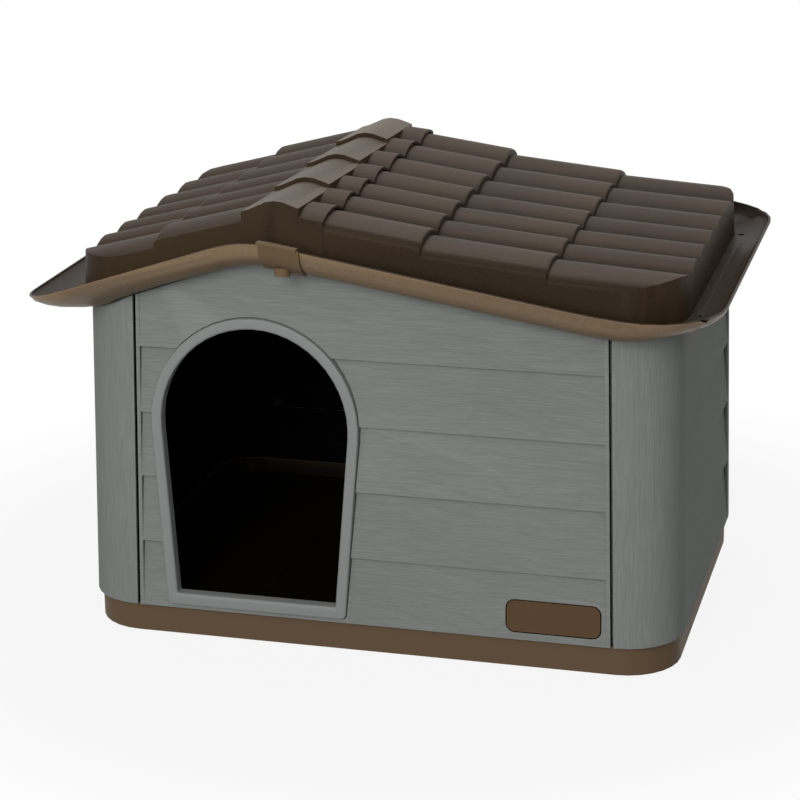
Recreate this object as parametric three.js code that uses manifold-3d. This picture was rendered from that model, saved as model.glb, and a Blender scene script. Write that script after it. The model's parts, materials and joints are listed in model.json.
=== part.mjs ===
// Plastic dog house: a base tray on four feet, clapboard walls with rounded corner posts, an arched
// door frame, a blank name plate, and a two-piece tiled roof with a gutter all round it.
// Millimetres. X runs across the front, Y from the door to the back, Z up. The finished group is moved
// so that its origin is on the ground at the middle of the whole house.

import * as THREE from 'three';
import { mergeVertices } from 'three/addons/utils/BufferGeometryUtils.js';
import Module from 'manifold-3d';

const wasm = await Module();
wasm.setup();

// ---- Driving dimensions: the whole house ----
const wallWidth = 805;         // across the side walls at their foot
const wallDepth = 579;         // from the front wall to the back wall at their foot
const postRadius = 77;         // rounded corner posts
const wallFoot = 37;           // height of the walls' foot, which is the top of the base
const groundZ = -5.5;          // height of the ground in the heights used here
const middleX = -5.5;          // middle of the house's full width, which the left eave moves over
const wallLean = 0.024;        // the walls lean inwards by this much per unit of height
const skin = 3;                // thickness of every moulding
const touchGap = 0.3;          // gap between pieces that touch

// ---- Driving dimensions: walls ----
const seamHalf = 320;          // from the middle to the seam between a corner post and the front wall
const seamGap = 4;             // width of that seam
const plankLines = [0, 92, 182.5, 270.5, 359];  // lower edges of the planks above the walls' foot
const plankRecess = 6;         // how far the head of each plank lies behind its lower edge
const borderWidth = 5;         // flush strip along both sides of the front and back walls
const frameDepth = 12;         // depth of the stiffening edges behind the planks
const tongueReach = 28;        // how far a side wall reaches behind the front or back wall
const reliefHalf = wallDepth / 2 - postRadius - 12.5;   // half length of the planks in a side wall
const footFlange = 18;         // depth of the flange that each wall stands on
const wallTop = 640;           // the walls are made taller than this and cut to the roof's underside

// ---- Driving dimensions: door frame and name plate ----
const doorX = -154.5;          // middle of the doorway
const doorRadius = 128.4;      // radius of its round head
const doorCentre = 262.6;      // middle of the round head above the walls' foot
const doorSill = 22.8;          // sill above the walls' foot
const doorFootHalf = 109;      // half width of the doorway at the sill
const doorCorner = { inside: 2, outside: 7 };  // radius of the corners at the sill
const trimWidth = 15.5;        // width of the door frame seen from the front
const sillWidth = 18;          // width of its lowest bar
const trimGap = 0.9;           // dark line between the frame and the planks
const jambDepth = 11;          // how far the frame reaches into the doorway
const trimRise = 4.5;          // how far the frame stands out from the planks
const hook = { angles: [35, 90, 145], half: 8, inset: 0.4, depth: 2.6, reach: 3.4 };  // snap hooks
const plate = { x: 243.9, z: 31.8, width: 122, height: 41, radius: 10, thickness: 3.3, rise: 0.5 };
const plateRim = { width: 2.2, depth: 0.4 };
const plateGap = 1.6;          // dark line round the plate

// ---- Driving dimensions: base and feet ----
const base = { halfX: wallWidth / 2 - 5.5, halfY: wallDepth / 2 - 7, radius: postRadius - 4,
  underside: -2.5, floorDrop: 7 };
const rim = { inset: 20.5, height: 15 };      // upstand that the walls drop over
const foot = { radius: 15, thickness: 6, stemRadius: 5, stemLength: 11, x: base.halfX - 95,
  y: base.halfY - 77.5 };
const ribs = { x: [-240, -80, 80, 240], y: [-120, 120], half: 1.5, bottom: 6,
  reachX: base.halfX - 27, reachY: base.halfY - 32.5 };
const ridges = { x: [-175.5, 0, 175.5], footHalf: 9, headHalf: 6, height: 3 };  // on the floor

// ---- Driving dimensions: roof ----
const skirtHalfX = wallWidth / 2 - 4;     // roof skirt at its foot
const skirtHalfY = wallDepth / 2 - 2.5;
const skirtRadius = postRadius;
const skirtDraft = 0.05;       // the skirt leans inwards by this much per unit of height
const eaveFoot = { left: 445, right: 459 };    // height of the skirt's foot along the eaves
const skirtLevel = 459;        // height at which the skirt has the size above
const rowEdges = [0, 0.166, 0.291, 0.422, 0.556, 0.704, 0.857, 1];  // valleys, as shares of the depth
const rowHeight = 11.2;        // height of a tile's arched back over the valleys beside it
// Courses of tiles: x of the lower end, valley height there, and fall per unit of length.
const leftTails = [[-278, 536.4, 0.254], [-390, 498.4, 0.254]];
const rightTails = [[-53, 570.9, 0.113], [72, 547.4, 0.14], [232, 522.9, 0.1], [390, 505.4, 0.068]];
const nose = { length: 4, shoulder: 1.2, drop: 4 };   // rounded lower end of a tile
const lapInset = skin + touchGap;  // the right half runs under the left half by this much inside it
const lapReach = 42;               // length of that lap

// Ridge caps: outline across the ridge at a cap's front end, and how far the cap falls to its back end.
const capCount = 4;
const capFall = 6;
const capTop = [[-160, 582], [-150, 585], [-138, 590.5], [-128, 595], [-118, 597], [-106, 596],
  [-95, 592.5], [-85, 589]];

// Gutter: height of its lip as two pitches, a rounded apex and level eaves.
const gutterWidth = 47;            // along the gables
const eaveWidth = { left: 56, right: 45 };
const lipRadius = { left: 78, right: 110 };   // plan radius of the lip at the corners
const gutterSkin = 2.6;
const gutterBead = 2;              // rolled edge of the lip
const gutterDepth = 36;            // depth from lip to skirt foot at the front and back
const leftPitch = { rise: 0.333, x: -179.2, z: 548.4 };
const rightPitch = { rise: -0.165, x: -36.3, z: 542.4 };
const apexBlend = 20.8;
const eaveLip = { left: 452, right: 478 };
const eaveBlend = { left: 10, right: 16 };
const splitX = -95;                // where the two halves of the gutter meet, under the couplers
const drainHole = { y: skirtHalfY - 76, offset: 9, radius: 5 };   // in the floor of the gutter's eaves
const coupler = { left: -120, right: -67.5, railLeft: -122, railRight: -71, skin: 2.4, railHeight: 3 };
const spout = { radius: 10.2, bore: 7.8, offset: 32, bottom: 512.5 };

// ---- Driving dimensions: push pins that hold the walls together ----
const pin = { x: 304, heights: [105, 284], shaft: 2.5, head: 7, headHeight: 3, length: 10.5 };
const boss = { radius: 6.5, start: 2, back: frameDepth + 0.2, holeDepth: 8 };

// ---- Colours ----
const wallGrey = '#7b7f7b';
const tileBrown = '#51463f';
const trimGrey = '#7f8480';
const baseBrown = '#5b4a38';
const rubberBlack = '#2b2a29';
const pinGrey = '#6d716d';

const group = new THREE.Group();
const halfWidth = wallWidth / 2;
const halfDepth = wallDepth / 2;
const cornerSteps = 7;

// ---- Making solids ----

// A solid that can be cut and joined, from any closed geometry.
function toSolid(geometry) {
  geometry.deleteAttribute('normal');
  geometry.deleteAttribute('uv');
  const merged = mergeVertices(geometry, 1e-4);
  return new wasm.Manifold(new wasm.Mesh({
    numProp: 3,
    vertProperties: Float32Array.from(merged.attributes.position.array),
    triVerts: Uint32Array.from(merged.index.array),
  }));
}

// The named mesh of a finished solid. reshape may move each of its points.
function addPart(name, solid, colour, roughness, reshape = null) {
  const { vertProperties, triVerts } = solid.getMesh();
  const geometry = new THREE.BufferGeometry();
  geometry.setAttribute('position', new THREE.BufferAttribute(Float32Array.from(vertProperties), 3));
  geometry.setIndex(new THREE.BufferAttribute(Uint32Array.from(triVerts), 1));
  if (reshape) {
    const point = new THREE.Vector3();
    const places = geometry.attributes.position;
    for (let i = 0; i < places.count; i++) {
      reshape(point.fromBufferAttribute(places, i));
      places.setXYZ(i, point.x, point.y, point.z);
    }
  }
  geometry.computeVertexNormals();
  const material = new THREE.MeshStandardMaterial({ color: colour, roughness, metalness: 0 });
  const mesh = new THREE.Mesh(geometry, material);
  mesh.name = name;
  group.add(mesh);
}

function box(x0, x1, y0, y1, z0, z1) {
  const geometry = new THREE.BoxGeometry(x1 - x0, y1 - y0, z1 - z0);
  return toSolid(geometry.translate((x0 + x1) / 2, (y0 + y1) / 2, (z0 + z1) / 2));
}

function asShape(points) {
  return new THREE.Shape(points.map(([u, v]) => new THREE.Vector2(u, v)));
}

// Outline in plan, made into a wall between two heights.
function standing(points, z0, z1) {
  const geometry = new THREE.ExtrudeGeometry(asShape(points), { depth: z1 - z0, bevelEnabled: false });
  return toSolid(geometry.translate(0, 0, z0));
}

// Outline of y and z, drawn out along X.
function alongX(points, x0, x1) {
  const geometry = new THREE.ExtrudeGeometry(asShape(points), { depth: x1 - x0, bevelEnabled: false });
  const turn = new THREE.Matrix4().set(0, 0, 1, x0, 1, 0, 0, 0, 0, 1, 0, 0, 0, 0, 0, 1);
  return toSolid(geometry.applyMatrix4(turn));
}

// Outline of x and z, drawn out along Y.
function alongY(points, y0, y1) {
  const geometry = new THREE.ExtrudeGeometry(asShape(points), { depth: y1 - y0, bevelEnabled: false });
  const turn = new THREE.Matrix4().set(1, 0, 0, 0, 0, 0, -1, y1, 0, 1, 0, 0, 0, 0, 0, 1);
  return toSolid(geometry.applyMatrix4(turn));
}

function cylinderY(x, z, radius, y0, y1, sides = 12) {
  const geometry = new THREE.CylinderGeometry(radius, radius, y1 - y0, sides);
  return toSolid(geometry.translate(0, (y0 + y1) / 2, 0).translate(x, 0, z));
}

function cylinderZ(x, y, radius, z0, z1, sides = 16) {
  const geometry = new THREE.CylinderGeometry(radius, radius, z1 - z0, sides).rotateX(Math.PI / 2);
  return toSolid(geometry.translate(x, y, (z0 + z1) / 2));
}

const join = (solids) => solids.reduce((whole, next) => whole.add(next));

// Signed area of a flat ring: positive when it runs anticlockwise.
const ringArea = (ring) => THREE.ShapeUtils.area(ring);

// Triangles that close a flat ring, wound the way the ring runs. drop names the axis to leave out.
function closeRing(ring, drop) {
  const kept = ['x', 'y', 'z'].filter((axis) => axis !== drop);
  const flat = ring.map((point) => new THREE.Vector2(point[kept[0]], point[kept[1]]));
  const direction = Math.sign(ringArea(flat));
  return THREE.ShapeUtils.triangulateShape(flat, []).map(([a, b, c]) => {
    const sameWay = Math.sign(ringArea([flat[a], flat[b], flat[c]])) === direction;
    return sameWay ? [a, b, c] : [a, c, b];
  });
}

// A solid whose skin runs over rings of points; every ring has as many points. With no drop axis,
// the last ring joins the first one.
function loft(rings, drop = null) {
  const size = rings[0].length;
  const faces = [];
  const spans = drop ? rings.length - 1 : rings.length;
  for (let i = 0; i < spans; i++) {
    const here = i * size;
    const next = ((i + 1) % rings.length) * size;
    for (let j = 0; j < size; j++) {
      const k = (j + 1) % size;
      faces.push([here + j, here + k, next + k], [here + j, next + k, next + j]);
    }
  }
  if (drop) {
    const end = (rings.length - 1) * size;
    closeRing(rings[0], drop).forEach(([a, b, c]) => faces.push([a, c, b]));
    closeRing(rings[rings.length - 1], drop).forEach(([a, b, c]) => faces.push([end + a, end + b, end + c]));
  }
  const points = rings.flat();
  const cross = new THREE.Vector3();
  const volume = faces.reduce((sum, [a, b, c]) => sum
    + points[a].dot(cross.crossVectors(points[b], points[c])), 0);
  const outward = volume > 0 ? faces : faces.map(([a, b, c]) => [a, c, b]);
  const geometry = new THREE.BufferGeometry().setFromPoints(points);
  geometry.setIndex(outward.flat());
  return toSolid(geometry);
}

// Points of a rounded rectangle, anticlockwise from the right-hand side of the back right corner.
function roundedRect(halfX, halfY, radius, steps = cornerSteps) {
  const points = [];
  [[1, 1], [-1, 1], [-1, -1], [1, -1]].forEach(([sideX, sideY], corner) => {
    for (let i = 0; i <= steps; i++) {
      const angle = Math.PI / 2 * (corner + i / steps);
      points.push([sideX * (halfX - radius) + radius * Math.cos(angle),
        sideY * (halfY - radius) + radius * Math.sin(angle)]);
    }
  });
  return points;
}

// A rounded block whose sides lean inwards going up, measured at a given height.
function leaningBlock(halfX, halfY, radius, level, z0, z1, draft) {
  return loft([z0, z1].map((z) => {
    const shift = draft * (z - level);
    return roundedRect(halfX - shift, halfY - shift, radius - shift)
      .map(([x, y]) => new THREE.Vector3(x, y, z));
  }), 'z');
}

// ---- Walls ----

// The lean of the walls: sides move in with height, and the flat stretches between the corners shorten.
function lean(point) {
  const shift = wallLean * (point.z - wallFoot);
  point.x -= shift * THREE.MathUtils.clamp(point.x / seamHalf, -1, 1);
  point.y -= shift * THREE.MathUtils.clamp(point.y / (halfDepth - postRadius), -1, 1);
}

// Faces of the planks as depth behind the flush face and height: each leans back from its lower edge.
function plankFaces(start, end) {
  const edges = [start, ...plankLines.slice(1).map((line) => wallFoot + line), end];
  return edges.slice(1).flatMap((head, i) => [[0, edges[i]], [plankRecess, head]]);
}

// Section through the planks; their backs follow the faces at the same thickness.
function plankSection(start, end) {
  const front = plankFaces(start, end);
  const back = front.map(([depth, z]) => [depth + skin, z === start || z === end ? z : z + skin]);
  return [...front, ...back.reverse()];
}

// Everything behind the front planks' faces, as deep as the stiffening edges.
function plankRoom() {
  const faces = plankFaces(0, wallTop).map(([depth, z]) => [depth - halfDepth, z]);
  const back = frameDepth + 1 - halfDepth;
  return alongX([...faces, [back, wallTop], [back, 0]], -seamHalf, seamHalf);
}

const standZ = wallFoot + touchGap;

// A front wall built at the front; the back wall is the same section turned round.
function clapboardPanel() {
  const front = -halfDepth;
  const edge = seamHalf - seamGap / 2;
  const flangeHalf = seamHalf - tongueReach - 3;
  const section = plankSection(standZ, wallTop).map(([depth, z]) => [front + depth, z]);
  const pieces = [alongX(section, -edge + borderWidth - 1, edge - borderWidth + 1)];
  pieces.push(box(-flangeHalf, flangeHalf, front + 1, front + footFlange, standZ, standZ + skin));
  for (const side of [-1, 1]) {
    const inner = side * (edge - borderWidth);
    const [x0, x1] = [inner, side * edge].sort((a, b) => a - b);
    pieces.push(box(x0, x1, front, front + frameDepth, standZ, wallTop));
    for (const height of pin.heights) {
      pieces.push(cylinderY(side * pin.x, wallFoot + height, boss.radius, front + boss.start,
        front + boss.back));
    }
  }
  const holes = [-1, 1].flatMap((side) => pin.heights.map((height) => cylinderY(side * pin.x,
    wallFoot + height, pin.shaft + 0.2, front + boss.back - boss.holeDepth, front + boss.back + 5)));
  return join(pieces).subtract(join(holes));
}

// Side wall on the right: two rounded corner posts with a planked field between them.
function sidePanel() {
  const seam = seamHalf + seamGap / 2;
  const arcCentre = [halfWidth - postRadius, halfDepth - postRadius];
  const arc = (radius, from, to) => Array.from({ length: cornerSteps + 1 }, (_, i) => {
    const angle = Math.PI / 2 * (from + (to - from) * i / cornerSteps);
    return [arcCentre[0] + radius * Math.cos(angle), arcCentre[1] + radius * Math.sin(angle)];
  });
  const tongueBack = halfDepth - frameDepth - 0.5 - skin;
  const tongueEnd = seamHalf - tongueReach;
  const backPost = [
    [seam, halfDepth], [seam, tongueBack + skin], [tongueEnd, tongueBack + skin],
    [tongueEnd, tongueBack], [seam + skin, tongueBack], [seam + skin, halfDepth - skin],
    ...arc(postRadius - skin, 1, 0),
    [halfWidth - skin, reliefHalf + skin], [halfWidth - frameDepth, reliefHalf + skin],
    [halfWidth - frameDepth, reliefHalf], [halfWidth, reliefHalf],
    ...arc(postRadius, 0, 1),
  ];
  const frontPost = backPost.map(([x, y]) => [x, -y]).reverse();
  const field = plankSection(standZ, wallTop).map(([depth, z]) => [halfWidth - depth, z]);
  const flangeOuter = roundedRect(halfWidth - 1, halfDepth - 1, postRadius - 1);
  const flangeInner = roundedRect(halfWidth - footFlange, halfDepth - footFlange, postRadius - footFlange);
  const flange = standing(flangeOuter, standZ, standZ + skin)
    .subtract(standing(flangeInner, standZ - 1, standZ + skin + 1))
    .intersect(box(seam, wallWidth, -wallDepth, wallDepth, 0, wallTop));
  const holes = [-1, 1].flatMap((side) => pin.heights.map((height) => cylinderY(pin.x,
    wallFoot + height, pin.shaft + 0.3, side * tongueBack - 8, side * tongueBack + 8)));
  return join([
    standing(backPost, standZ, wallTop),
    standing(frontPost, standZ, wallTop),
    alongY(field, -reliefHalf - 1, reliefHalf + 1),
    flange,
  ]).subtract(join(holes));
}

// ---- Doorway ----

// Outline of the doorway, moved outwards by offset: a round head, sides that draw in towards the
// sill and small corners at the sill.
function doorOutline(offset) {
  const below = doorCentre - doorSill;
  const reach = Math.hypot(doorFootHalf, below);
  const splay = Math.atan2(below, doorFootHalf) - Math.acos(doorRadius / reach);
  const centreZ = wallFoot + doorCentre;
  const radius = doorRadius + offset;
  const corner = doorCorner.inside + (doorCorner.outside - doorCorner.inside) * offset / trimWidth;
  const cornerZ = wallFoot + doorSill - offset * sillWidth / trimWidth + corner;
  const cornerX = (radius - corner + Math.sin(splay) * (cornerZ - centreZ)) / Math.cos(splay);
  const arc = (x, z, size, from, to, steps) => Array.from({ length: steps + 1 }, (_, i) => {
    const angle = from + (to - from) * i / steps;
    return [x + size * Math.cos(angle), z + size * Math.sin(angle)];
  });
  return [
    ...arc(doorX + cornerX, cornerZ, corner, -Math.PI / 2, -splay, 3),
    ...arc(doorX, centreZ, radius, -splay, Math.PI + splay, 26),
    ...arc(doorX - cornerX, cornerZ, corner, Math.PI + splay, Math.PI * 3 / 2, 3),
  ];
}

// A ring round the doorway: section points are the distance out from the doorway and the depth
// behind the flush face of the wall.
function doorRing(section) {
  return loft(section.map(([offset, depth]) => doorOutline(offset)
    .map(([x, z]) => new THREE.Vector3(x, -halfDepth + depth, z))));
}

function doorFrame() {
  const outside = trimWidth - trimGap;
  const channel = doorRing([
    [outside, plankRecess + skin], [outside, 2 - trimRise], [outside - 0.8, 0.8 - trimRise],
    [outside - 2.4, -trimRise], [4.5, -trimRise - 0.4], [2, -trimRise], [0.6, 1.2 - trimRise],
    [0, 3 - trimRise], [0, jambDepth], [skin, jambDepth], [skin, skin - trimRise],
    [outside - skin, skin - trimRise], [outside - skin, plankRecess + skin],
  ]);
  return join([channel, ...doorHooks(outside)]);
}

// Snap hooks that hold the frame behind the edge of the wall's cut-out.
function doorHooks(outside) {
  const centreZ = wallFoot + doorCentre;
  const latch = frameDepth + 0.4;
  const legX = doorRadius + outside - skin / 2 - hook.inset;
  return hook.angles.map((degrees) => {
    const leg = new THREE.BoxGeometry(skin, latch - 2, hook.half * 2);
    leg.translate(legX, 5 + latch / 2, 0);
    const catchPlate = new THREE.BoxGeometry(skin + hook.reach, hook.depth, hook.half * 2);
    catchPlate.translate(legX + hook.reach / 2, latch + hook.depth / 2, 0);
    const turn = (geometry) => toSolid(geometry.rotateY(-THREE.MathUtils.degToRad(degrees))
      .translate(doorX, -halfDepth, centreZ));
    return turn(leg).add(turn(catchPlate));
  });
}

const doorCut = () => alongY(doorOutline(trimWidth), -halfDepth - 20, -halfDepth + 40);

// Edge of the wall's cut-out, turned back behind the planks.
const doorReturn = () => doorRing([[trimWidth + skin, 0], [trimWidth, 0], [trimWidth, frameDepth],
  [trimWidth + skin, frameDepth]]).intersect(plankRoom());

// ---- Name plate ----

// A rounded block in the lowest plank, between two depths behind the plank's leaning face.
function plateBlock(grow, depth0, depth1) {
  const outline = roundedRect(plate.width / 2 + grow, plate.height / 2 + grow, plate.radius + grow, 4)
    .map(([x, z]) => [x + plate.x, z + plate.z]);
  const depth = depth1 - depth0;
  const geometry = new THREE.ExtrudeGeometry(asShape(outline), { depth, bevelEnabled: false });
  const slope = plankRecess / plankLines[1];
  const turn = new THREE.Matrix4().set(1, 0, 0, 0, 0, slope, -1, depth1 - halfDepth,
    0, 1, 0, wallFoot, 0, 0, 0, 1);
  return toSolid(geometry.applyMatrix4(turn));
}

function namePlate() {
  const face = plateBlock(-plateRim.width, -plate.rise - 5, plateRim.depth - plate.rise);
  return plateBlock(0, -plate.rise, plate.thickness - plate.rise).subtract(face);
}

const plateFloor = plate.thickness - plate.rise + touchGap;   // depth of the pocket for the plate
const plateMount = () => plateBlock(plateGap + skin, 0.2, plateFloor + skin);
const platePocket = () => plateBlock(plateGap, -5, plateFloor);

// ---- Base ----

function baseTray() {
  const deckTop = wallFoot;
  const floorTop = deckTop - base.floorDrop;
  const wallLine = (inset) => roundedRect(halfWidth - inset, halfDepth - inset, postRadius - inset);
  const outline = (inset) => roundedRect(base.halfX - inset, base.halfY - inset, base.radius - inset);
  const rimInner = rim.inset + skin;
  const shell = standing(outline(0), base.underside, deckTop)
    .add(standing(wallLine(rim.inset), deckTop - 1, deckTop + rim.height));
  const well = standing(wallLine(rimInner), floorTop, deckTop + rim.height + 1);
  const underDeck = standing(outline(skin), base.underside - 1, deckTop - skin)
    .subtract(standing(wallLine(rimInner - skin), base.underside - 2, deckTop));
  const underFloor = standing(wallLine(rimInner), base.underside - 1, floorTop - skin);
  const rib = (x, y, halfX, halfY) => box(x - halfX, x + halfX, y - halfY, y + halfY,
    ribs.bottom, floorTop - 1);
  const stiffeners = [
    ...ribs.x.map((x) => rib(x, 0, ribs.half, ribs.reachY)),
    ...ribs.y.map((y) => rib(0, y, ribs.reachX, ribs.half)),
  ];
  const ridgeReach = halfDepth - rim.inset - skin - 18;
  const floorRidges = ridges.x.map((x) => alongY([[x - ridges.footHalf, floorTop - 1],
    [x + ridges.footHalf, floorTop - 1], [x + ridges.headHalf, floorTop + ridges.height],
    [x - ridges.headHalf, floorTop + ridges.height]], -ridgeReach, ridgeReach));
  const sockets = footPlaces().map(([x, y]) => cylinderZ(x, y, foot.radius + 3,
    groundZ + foot.thickness + touchGap, floorTop - 1));
  const holes = footPlaces().map(([x, y]) => cylinderZ(x, y, foot.stemRadius + touchGap,
    0, groundZ + foot.thickness + foot.stemLength + 2));
  return shell.subtract(well).subtract(underDeck).subtract(underFloor)
    .add(join([...stiffeners, ...floorRidges, ...sockets])).subtract(join(holes));
}

function footPlaces() {
  return [[-1, -1], [1, -1], [1, 1], [-1, 1]].map(([sx, sy]) => [sx * foot.x, sy * foot.y]);
}

function rubberFoot([x, y]) {
  const stemTop = foot.thickness + foot.stemLength;
  const profile = [[0, 0], [foot.radius - 1.5, 0], [foot.radius, 1.5], [foot.radius, foot.thickness],
    [foot.stemRadius, foot.thickness], [foot.stemRadius, stemTop - 1], [foot.stemRadius - 1, stemTop],
    [0, stemTop]].map(([r, h]) => new THREE.Vector2(r, h));
  return toSolid(new THREE.LatheGeometry(profile, 16).rotateX(Math.PI / 2).translate(x, y, groundZ));
}

// ---- Roof tiles ----

const rowLines = rowEdges.map((edge) => skirtHalfY * (2 * edge - 1));

// Height of the tiles' arched backs over the valleys at one place from front to back.
function rowLift(y) {
  const row = Math.max(rowLines.findIndex((line) => y < line) - 1, 0);
  const share = (y - rowLines[row]) / (rowLines[row + 1] - rowLines[row]);
  return rowHeight * (1 - (2 * THREE.MathUtils.clamp(share, 0, 1) - 1) ** 2);
}

// Places from front to back where the tiles' outline is set: shares of each row, and past both ends.
function rowStops(shares) {
  const stops = rowLines.slice(1).flatMap((end, row) => shares
    .map((share) => THREE.MathUtils.lerp(rowLines[row], end, share)));
  return [-skirtHalfY - 20, ...stops, skirtHalfY, skirtHalfY + 20];
}

// Outline of one slope from the first course down to past the eave. side is -1 on the left of the
// ridge and 1 on the right. With back and sink the same outline serves the underside.
function slopeOutline(side, tails, back, sink) {
  const valley = ([tailX, tailZ, fall], x) => tailZ + fall * side * (tailX - x) - sink;
  const points = [];
  tails.forEach((tail, i) => {
    const isLast = i === tails.length - 1;
    const end = isLast ? side * (skirtHalfX + 20) : tail[0] - side * back;
    if (isLast || back) {
      points.push([end, valley(tail, end)]);
    } else {
      points.push([end - side * nose.length, valley(tail, end - side * nose.length)],
        [end - side * nose.shoulder, valley(tail, end) - nose.shoulder],
        [end, valley(tail, end) - nose.drop]);
    }
    if (!isLast) points.push([end, valley(tails[i + 1], end)]);
  });
  return points;
}

// A block under the tile surface: the outline across the house, drawn from front to back over the rows.
function tileBlock(left, right, back, sink) {
  const leftPoints = slopeOutline(-1, left, back, sink).reverse();
  const rightPoints = slopeOutline(1, right, back, sink);
  const [[leftX, leftZ, leftFall]] = left;
  const [[rightX, rightZ, rightFall]] = right;
  const ridgeX = (rightZ + rightFall * rightX - leftZ + leftFall * leftX) / (leftFall + rightFall);
  const ridgeZ = leftZ + leftFall * (ridgeX - leftX) - sink;
  const outline = [...leftPoints, [ridgeX, ridgeZ], ...rightPoints];
  const low = skirtLevel - 60;
  const wide = skirtHalfX + 20;
  const stops = rowStops(back ? [0, 0.33, 0.67] : [0, 0.14, 0.3, 0.5, 0.7, 0.86]);
  return loft(stops.map((y) => [
    ...outline.map(([x, z]) => new THREE.Vector3(x, y, z + rowLift(y))),
    new THREE.Vector3(wide, y, low),
    new THREE.Vector3(-wide, y, low),
  ]), 'y');
}

// Ridge caps one behind the other; each one's front end stands over the back end of the one before.
function ridgeCaps(inside) {
  const length = 2 * skirtHalfY / capCount;
  const [first, last] = [capTop[0][0], capTop[capTop.length - 1][0]];
  const shrink = inside ? skin : 0;
  const bottom = inside ? skirtLevel : capTop[0][1] - 18;
  const across = (x) => THREE.MathUtils.clamp(x, first + shrink, last - shrink);
  return join(Array.from({ length: capCount }, (_, i) => {
    const front = -skirtHalfY + i * length;
    const stations = [[front + shrink, 0], [front + length + shrink, capFall]];
    return loft(stations.map(([y, fall]) => [
      ...capTop.map(([x, z]) => new THREE.Vector3(across(x), y, z - fall - shrink)),
      new THREE.Vector3(last - shrink, y, bottom),
      new THREE.Vector3(first + shrink, y, bottom),
    ]), 'y');
  }));
}

const skirtBlock = (inset) => leaningBlock(skirtHalfX - inset, skirtHalfY - inset, skirtRadius - inset,
  skirtLevel, skirtLevel - gutterDepth - 14, wallTop, skirtDraft);

// Open shell of tiles and skirt. inset moves its sides inwards, for the lap.
function roofShell(left, right, inset, withCaps) {
  const tiles = tileBlock(left, right, 0, 0);
  const hollow = tileBlock(left, right, skin, skin);
  const outer = withCaps ? tiles.add(ridgeCaps(false)) : tiles;
  const inner = withCaps ? hollow.add(ridgeCaps(true)) : hollow;
  return outer.intersect(skirtBlock(inset)).subtract(inner.intersect(skirtBlock(inset + skin)))
    .intersect(bandOver(-gutterSkin / 2, wallTop));
}

// ---- Gutter ----

// Smooth lesser and greater of two heights, rounded over a blend.
function smoothLesser(a, b, blend) {
  const share = Math.max(blend - Math.abs(a - b), 0) / blend;
  return Math.min(a, b) - share * share * blend / 4;
}

const smoothGreater = (a, b, blend) => -smoothLesser(-a, -b, blend);

// Height of the gutter's lip across the house.
function lipHeight(x) {
  const left = leftPitch.z + leftPitch.rise * (x - leftPitch.x);
  const right = rightPitch.z + rightPitch.rise * (x - rightPitch.x);
  const gable = smoothLesser(left, right, apexBlend);
  return x < splitX ? smoothGreater(gable, eaveLip.left, eaveBlend.left)
    : smoothGreater(gable, eaveLip.right, eaveBlend.right);
}

// Height of the skirt's foot across the house: below the lip along the gables, level at the eaves.
function skirtFoot(x) {
  const cornerStart = skirtHalfX - skirtRadius;
  const share = THREE.MathUtils.smoothstep(Math.abs(x), cornerStart - 12, skirtHalfX);
  const level = x < splitX ? eaveFoot.left : eaveFoot.right;
  return THREE.MathUtils.lerp(lipHeight(x) - gutterDepth, level, share);
}

// Places along a gable where the gutter changes its slope.
const gableStops = [-185, -172, -160, -148, -136, -124, -112, -102, splitX, 238, 270, 300];
const stopsFrom = (x0, x1) => [x0, ...gableStops.filter((x) => x > x0 && x < x1), x1];

// Band between two heights over the skirt's foot, through the whole depth.
function bandOver(low, high, x0 = -skirtHalfX - 60, x1 = skirtHalfX + 60) {
  const corner = skirtHalfX - skirtRadius;
  const cornerStops = Array.from({ length: 9 }, (_, i) => corner - 12 + i * (skirtRadius + 12) / 8);
  const stops = [...cornerStops.map((x) => -x), ...gableStops, ...cornerStops]
    .filter((x) => x > x0 && x < x1).sort((a, b) => a - b);
  const xs = [x0, ...stops, x1];
  const under = xs.map((x) => [x, skirtFoot(x) + low]);
  const over = xs.map((x) => [x, skirtFoot(x) + high]).reverse();
  return alongY([...under, ...over], -skirtHalfY - 60, skirtHalfY + 60);
}

// Section of the gutter as distance out from the skirt and height: a quarter ellipse from the
// skirt's foot up to the lip. swell moves it outwards from the trough.
function troughCurve(footZ, lipZ, swell, from = 0, width = gutterWidth) {
  const steps = 5;
  const rise = lipZ - gutterBead - footZ;
  return Array.from({ length: steps + 1 }, (_, i) => {
    const angle = from + (Math.PI / 2 - from) * i / steps;
    return [(width + swell) * Math.sin(angle), footZ + rise - (rise + swell) * Math.cos(angle)];
  });
}

function gutterSection(footZ, lipZ, width) {
  const edge = skirtDraft * (footZ - skirtLevel) + skin * 0.8;
  const trough = troughCurve(footZ, lipZ, 0, 0, width);
  const belly = troughCurve(footZ, lipZ, gutterSkin, 0, width);
  trough[0][0] = -edge;
  belly[0][0] = -edge;
  const outside = width + gutterSkin + 1;
  return [...trough, [width, lipZ - 0.6], [width + 0.6, lipZ], [outside - 0.6, lipZ],
    [outside, lipZ - 0.6], [outside, lipZ - gutterBead], ...belly.reverse()];
}

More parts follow.
